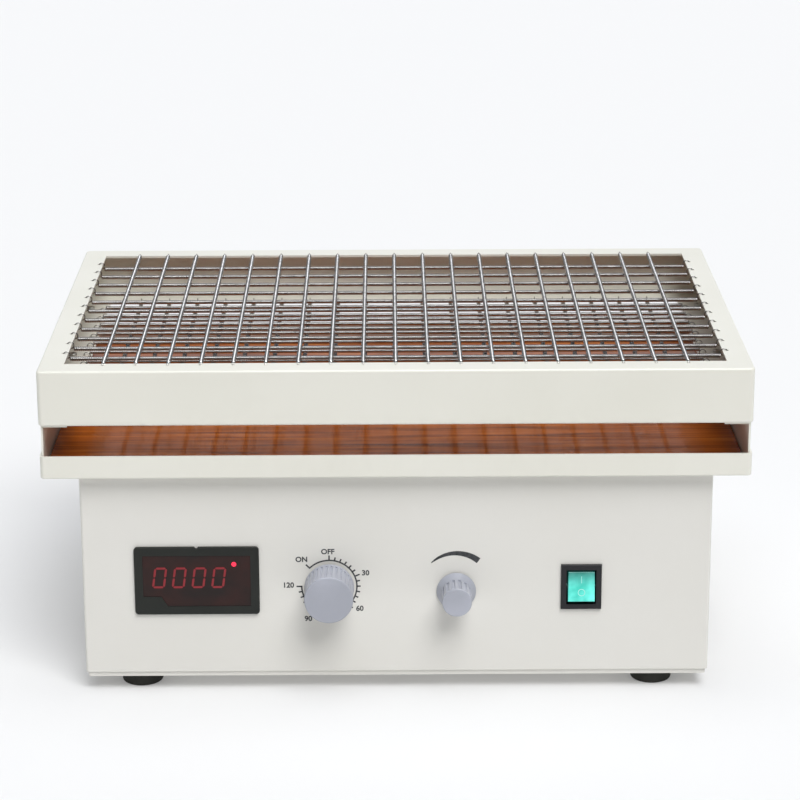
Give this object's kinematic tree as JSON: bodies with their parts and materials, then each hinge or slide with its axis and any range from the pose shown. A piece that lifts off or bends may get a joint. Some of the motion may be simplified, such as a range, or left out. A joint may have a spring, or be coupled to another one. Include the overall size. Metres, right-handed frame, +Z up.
{
  "type": "reciprocating spring-net platform shaker",
  "caption": "Bench shaker: a sheet-metal base with panel controls drives a sliding tray topped by a double net of springs that grips flasks.",
  "frame": {"origin": "bottom centre of the bounding box, on the surface under the feet", "axes": "+X to the right along the width and the shaking direction, +Y from the front panel to the rear, +Z up"},
  "size_m": [0.45, 0.3256, 0.2213],
  "materials": {
    "white_paint": "fine satin off-white enamel",
    "board_gloss": "glossy orange-brown phenolic board",
    "spring_steel": "bright drawn wire",
    "zinc_steel": "zinc-plated",
    "rubber": "matt moulded",
    "meter_case": "fine-textured moulding",
    "meter_window": "dark red-brown tinted window",
    "circuit_board": "green solder mask",
    "digit_red": "red seven-segment digits",
    "black_plastic": "moulded",
    "knob_grey": "lavender-grey moulding",
    "rocker_green": "translucent lit green",
    "aluminium": "turned and milled",
    "motor_steel": "dark grey enamel",
    "bearing_steel": "ground and polished",
    "belt_rubber": "matt",
    "copper_iron": "varnished laminations and winding"
  },
  "bodies": {
    "base": {"housing": "white_paint", "rear_panel": "white_paint", "base_plate": "white_paint", "rubber_feet": "rubber", "foot_screws": "zinc_steel", "cover_screws": "zinc_steel", "display_bezel": "meter_case", "display_window": "meter_window", "display_board": "circuit_board", "digit_modules": "digit_red", "timer_body": "black_plastic", "speed_pot": "aluminium", "switch_frame": "black_plastic", "control_board": "circuit_board", "transformer": "copper_iron", "motor_case": "motor_steel", "motor_stand": "zinc_steel", "chassis_screws": "zinc_steel", "bearing_housing": "aluminium", "bearing_outer_rings": "bearing_steel", "drive_belt": "belt_rubber", "guide_rods": "bearing_steel", "rod_supports": "aluminium", "rod_stand_left": "zinc_steel", "rod_stand_right": "zinc_steel", "power_inlet": "black_plastic", "fuse_holder": "black_plastic", "speed_sensor": "black_plastic"},
    "platform": {"tray_pan": "white_paint", "tray_board": "board_gloss", "tray_screws": "zinc_steel", "side_bracket_left": "white_paint", "side_bracket_right": "white_paint", "spring_frame": "white_paint", "frame_screws": "zinc_steel", "upper_cross_springs": "spring_steel", "upper_long_springs": "spring_steel", "lower_cross_springs": "spring_steel", "lower_long_springs": "spring_steel", "carriage_plate": "aluminium", "yoke_block": "aluminium", "bearing_blocks": "aluminium", "linear_bushes": "bearing_steel", "platform_posts": "aluminium", "platform_screws": "zinc_steel", "carriage_screws": "zinc_steel"},
    "crank": {"crankshaft": "bearing_steel", "driven_pulley": "aluminium", "crank_disc": "aluminium", "crank_pin": "bearing_steel", "cam_roller": "bearing_steel", "bearing_inner_rings": "bearing_steel"},
    "motor_rotor": {"motor_shaft": "bearing_steel", "motor_pulley": "aluminium"},
    "timer_dial": {"timer_knob": "knob_grey", "timer_shaft": "zinc_steel"},
    "speed_dial": {"speed_knob": "knob_grey", "speed_shaft": "zinc_steel"},
    "switch_rocker": {"power_rocker": "rocker_green"},
    "fuse_carrier": {"fuse_cap": "black_plastic"}
  },
  "joints": [
    {"name": "platform_slide", "type": "slide", "parent": "base", "child": "platform", "axis": [1, 0, 0], "range_m": [-0.01, 0.01]},
    {"name": "crank_turn", "type": "hinge", "parent": "base", "child": "crank", "pos_m": [0, 0.00775, 0.078], "axis": [0, 0, 1], "range_deg": [-91, 91]},
    {"name": "motor_turn", "type": "hinge", "parent": "base", "child": "motor_rotor", "pos_m": [0.088, 0.00775, 0.078], "axis": [0, 0, 1], "range_deg": [-273, 273]},
    {"name": "timer_turn", "type": "hinge", "parent": "base", "child": "timer_dial", "pos_m": [-0.0433, -0.13725, 0.072], "axis": [0, 1, 0], "range_deg": [-45, 270]},
    {"name": "speed_turn", "type": "hinge", "parent": "base", "child": "speed_dial", "pos_m": [0.0384, -0.13725, 0.0685], "axis": [0, 1, 0], "range_deg": [0, 280]},
    {"name": "rocker_tilt", "type": "hinge", "parent": "base", "child": "switch_rocker", "pos_m": [0.1189, -0.13425, 0.0711], "axis": [1, 0, 0], "range_deg": [0, 16]},
    {"name": "fuse_cap_turn", "type": "hinge", "parent": "base", "child": "fuse_carrier", "pos_m": [0.062, 0.15155, 0.055], "axis": [0, 1, 0], "range_deg": [0, 60]}
  ],
  "couplings": [
    {"joint": "crank_turn", "follows": "platform_slide", "rad_per_m": 157.08},
    {"joint": "motor_turn", "follows": "platform_slide", "rad_per_m": 471.24}
  ]
}
